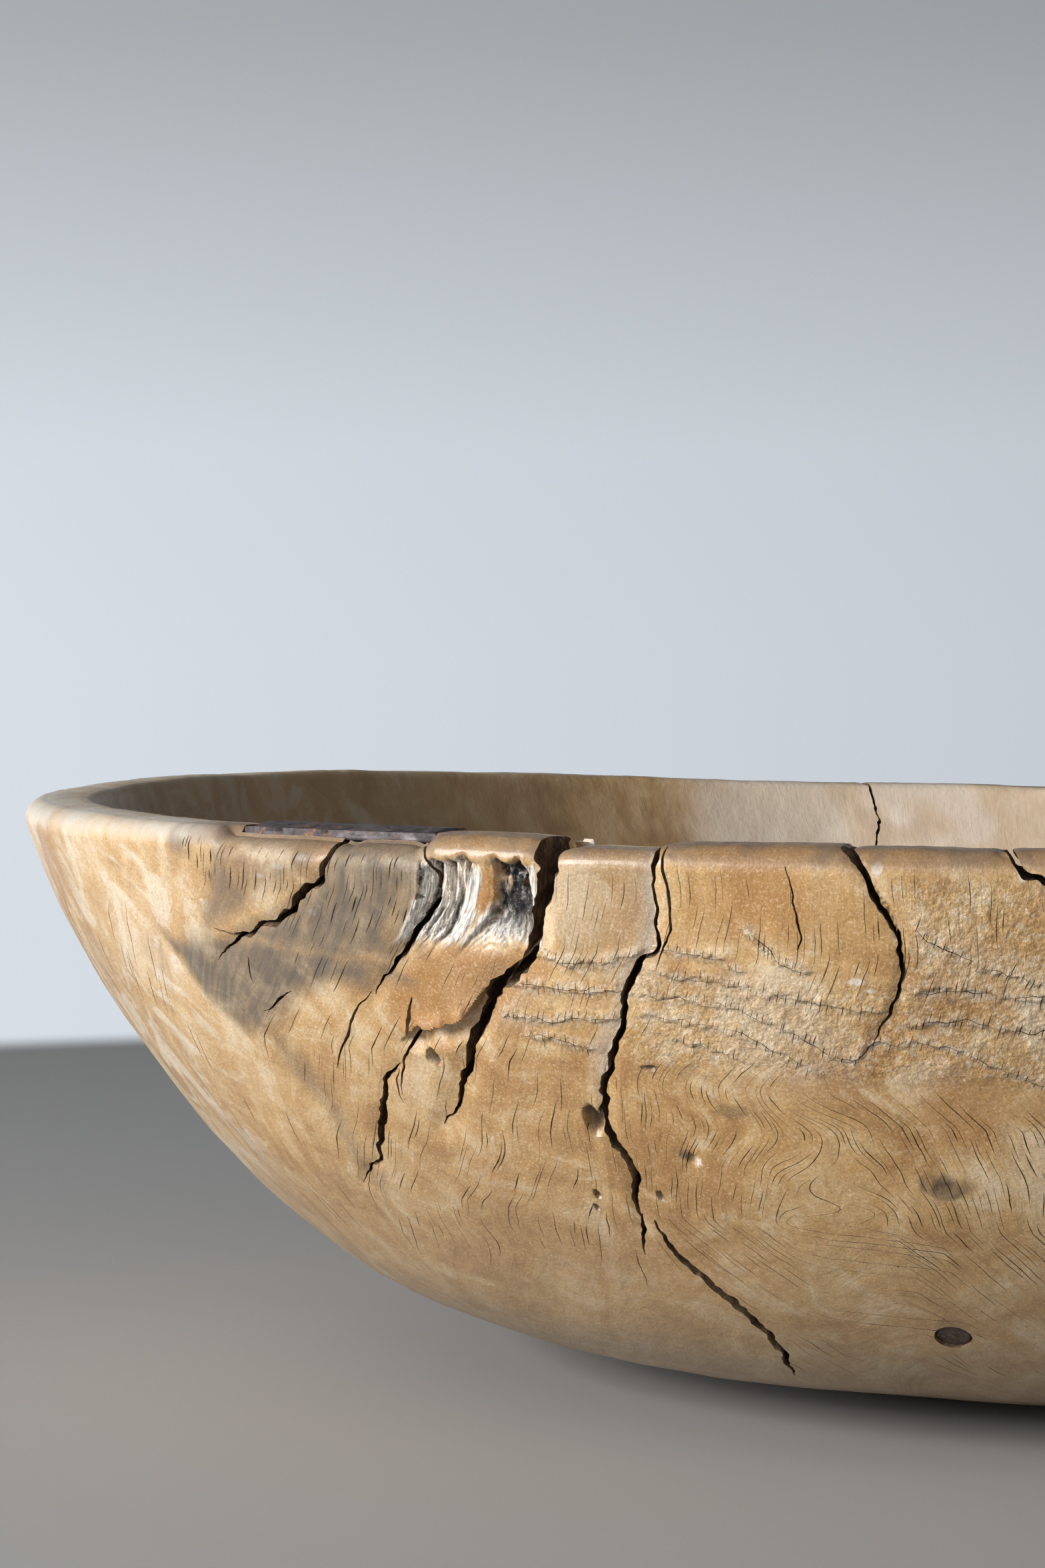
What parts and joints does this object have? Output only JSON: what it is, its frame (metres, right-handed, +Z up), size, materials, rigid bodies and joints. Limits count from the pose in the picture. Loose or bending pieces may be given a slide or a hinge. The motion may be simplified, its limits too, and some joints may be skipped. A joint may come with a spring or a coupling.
{
  "type": "carved wooden bowl",
  "caption": "Large round dugout bowl of burr wood with a thick rounded rim, open drying cracks, a nailed iron strap on the rim and a dead knot in its wall.",
  "frame": {"origin": "centre of the flat that the bowl rests on", "axes": "+Z up out of the bowl, -Y towards the mended and most cracked side, X along the slightly longer diameter"},
  "size_m": [0.612, 0.588, 0.1638],
  "materials": {
    "burr_wood": "waxed, worn and cracked",
    "forged_iron": "dark, with rust",
    "dead_wood": "dark, smooth"
  },
  "bodies": {
    "root": {"bowl_body": "burr_wood", "rim_strap": "forged_iron", "strap_nail_1": "forged_iron", "strap_nail_2": "forged_iron", "knot_plug": "dead_wood"}
  },
  "joints": []
}
